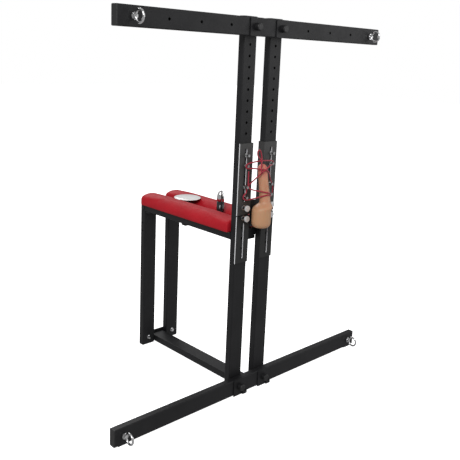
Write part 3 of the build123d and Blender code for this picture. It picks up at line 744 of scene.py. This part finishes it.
# ---- posts ------------------------------------------------------------------------------------
def make_disc(white, dark):
    """Mushroom head: domed glossy disc with a fine step at the rim, over a fluted dark neck."""
    low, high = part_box("disc_head")
    centre = middle("disc_head")
    radius = (high.x - low.x) / 2
    rim = high.z - 0.0058
    shoulder, shoulder_z, dome = radius - 0.0041, rim + 0.0039, 0.0019
    profile = [(0.0, rim), (0.030, rim), (radius - 0.0022, rim), (radius - 0.0008, rim + 0.0004),
               (radius, rim + 0.0012), (radius - 0.0001, rim + 0.0022), (radius - 0.0012, rim + 0.0032),
               (radius - 0.0032, rim + 0.0037), (radius - 0.0036, rim + 0.0036), (shoulder, shoulder_z)]
    for n in range(1, 9):
        share = n / 8
        profile.append((shoulder * (1 - share), shoulder_z + dome * math.sin(math.pi / 2 * share)))
    work = bmesh.new()
    lathe(work, profile, (centre.x, centre.y, 0), steps=96)
    disc = add_mesh("disc_cap", work, "disc_column", white)
    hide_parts("disc_head")
    neck = [(0.0, low.z), (0.0118, low.z), (0.0125, low.z + 0.001), (0.0125, low.z + 0.020),
            (0.0150, low.z + 0.0225), (0.0240, low.z + 0.0262), (0.0315, rim - 0.0004), (0.0300, rim),
            (0.0, rim)]
    work = bmesh.new()

    def flute(angle, along):
        wave = 0.5 + 0.5 * math.cos(16 * angle)
        return 1 - 0.09 * wave * smoothstep((along - low.z - 0.018) / 0.008)

    lathe(work, neck, (centre.x, centre.y, 0), steps=128, twist=flute)
    part = add_mesh("disc_neck", work, "disc_column", dark)
    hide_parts("disc_head")


def make_bullet(metal, dark):
    """Bullet-shaped chrome head over a dark glossy grip, with a small dark button."""
    low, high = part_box("bullet_head")
    centre_x, centre_y = MIDDLE_X, middle("bullet_head").y
    radius, groove = 0.012, low.z + 0.044
    collar = radius - 0.0009
    grip = [(0.0, low.z), (radius - 0.001, low.z), (radius, low.z + 0.001), (radius, groove - 0.0010),
            (0.0, groove - 0.0008)]
    work = bmesh.new()
    lathe(work, grip, (centre_x, centre_y, 0), steps=64)
    lower = add_mesh("bullet_grip", work, "bullet_column", dark)
    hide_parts("bullet_head")
    profile = [(0.0, groove - 0.0008), (collar, groove - 0.0008), (collar, groove + 0.0008),
               (radius, groove + 0.0012)]
    nose = 0.024
    start = high.z - nose
    for n in range(13):
        share = n / 12
        profile.append((radius * math.cos(math.pi / 2 * share), start + nose * math.sin(math.pi / 2 * share)))
    profile[-1] = (0.0, high.z)
    work = bmesh.new()
    lathe(work, profile, (centre_x, centre_y, 0), steps=64)
    shell = add_mesh("bullet_shell", work, "bullet_column", metal)
    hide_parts("bullet_head")
    work = bmesh.new()
    button = [(0.0, 0.0), (0.0027, 0.0), (0.0027, 0.0018), (0.0020, 0.0026), (0.0, 0.0027)]
    lathe(work, button, (0, 0, 0), steps=24)
    side = Matrix.Translation((centre_x + radius - 0.0003, centre_y, groove + 0.006))
    turn = side @ Matrix.Rotation(math.pi / 2, 4, "Y")
    bmesh.ops.transform(work, matrix=turn, verts=work.verts)
    part = add_mesh("bullet_button", work, "bullet_column", dark)
    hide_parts("bullet_head")


# ---- finishes of the CAD nodes --------------------------------------------------------------------
def paint(names, material):
    """Gives CAD nodes a finish."""
    for name in names:
        slots = NODES[name].data.materials
        slots.clear()
        slots.append(material)


def bracket_finish(name, dark, light):
    """Sheet whose outer free edge and sideways slot walls get a painted highlight, a bright grey standing in
    for the light they catch.
    """
    made = Shader(name)
    grain = made.noise(6, 6, 0.65, made.scaled((260, 260, 5)))
    grey = made.ramp(grain, [(0.25, (dark,) * 3), (0.75, (light,) * 3)])
    facing = made.axis("X", made.node("ShaderNodeNewGeometry").outputs["True Normal"])
    sideways = made.math("GREATER_THAN", made.math("ABSOLUTE", facing), 0.6)
    in_sheet = made.math("LESS_THAN", made.axis("Y"), FACE_Y - 0.0002)
    away = made.math("ABSOLUTE", made.math("SUBTRACT", made.axis("X"), MIDDLE_X))
    outer = made.math("GREATER_THAN", away, NO_HIGHLIGHT_REACH)
    # painted highlight: bright grey on faces turned sideways, in front of the uprights and away from the
    # middle
    painted_edge_highlight = made.math("MULTIPLY", made.math("MULTIPLY", sideways, in_sheet), outer)
    made.link(made.blend(painted_edge_highlight, grey, (0.85, 0.85, 0.87, 1)), made.main.inputs["Base Color"])
    made.set(Metallic=0.2)
    made.link(made.span_map(grain, 0.42, 0.56), made.main.inputs["Roughness"])
    made.bump(grain, 0.12, 0.0003)
    return made.material


def paint_nodes():
    """Finishes every CAD node that stays, and returns the three looks the posts share."""
    plastic = moulded("black_moulding", (0.01, 0.01, 0.011))
    chrome = polished("chrome_plate", 0.7, 0.07)
    paint(["bottom_bar", "top_bar", "clamp_plates", "rear_crosspiece", "floor_rail", "front_crosspiece",
           "post_track", "track_ties", "form_plate"]
          + [f"{name}_{s}" for name in ("upright", "bench_rail", "leg") for s in SIDES], powder_coat())
    paint(["bar_end_plugs", "upright_caps", "leg_caps", "eye_bushes", "disc_carriage", "bullet_carriage"],
          plastic)
    paint(["clamp_bolts"], moulded("black_oxide", (0.007, 0.007, 0.008), 0.5, 0.05))
    paint(["glides"], moulded("rubber_glide", (0.02, 0.02, 0.02), 0.75, 0.3))
    paint(["frame_nuts", "board_screws", "upper_knob_washers", "lower_knob_washers", "form_stud",
           "disc_post", "bullet_post"] + [f"eye_nut_{e}" for e in EYES], zinc())
    paint(["rear_bolts"] + [f"eye_{e}" for e in EYES], chrome)
    paint(["cord_pins"], polished("pin_steel", 0.5, 0.2))
    paint([f"board_{s}" for s in SIDES], plywood())
    paint([f"upper_bracket_{s}" for s in SIDES], bracket_finish("bracket_grey", 0.03, 0.06))
    paint([f"lower_bracket_{s}" for s in SIDES], bracket_finish("bracket_black", 0.008, 0.016))
    paint([f"{level}_knob_{s}" for level in ("upper", "lower") for s in SIDES], knob_silver())
    return chrome, plastic, moulded("dark_gloss", (0.012, 0.012, 0.014), 0.2, 0.03)


make_camera()
make_lacing()
make_studio()
chrome, plastic, gloss = paint_nodes()
make_soft_form()
vinyl = red_vinyl()
for side in SIDES:
    make_cushion(side, vinyl)
make_disc(white_gloss(), plastic)
make_bullet(chrome, gloss)
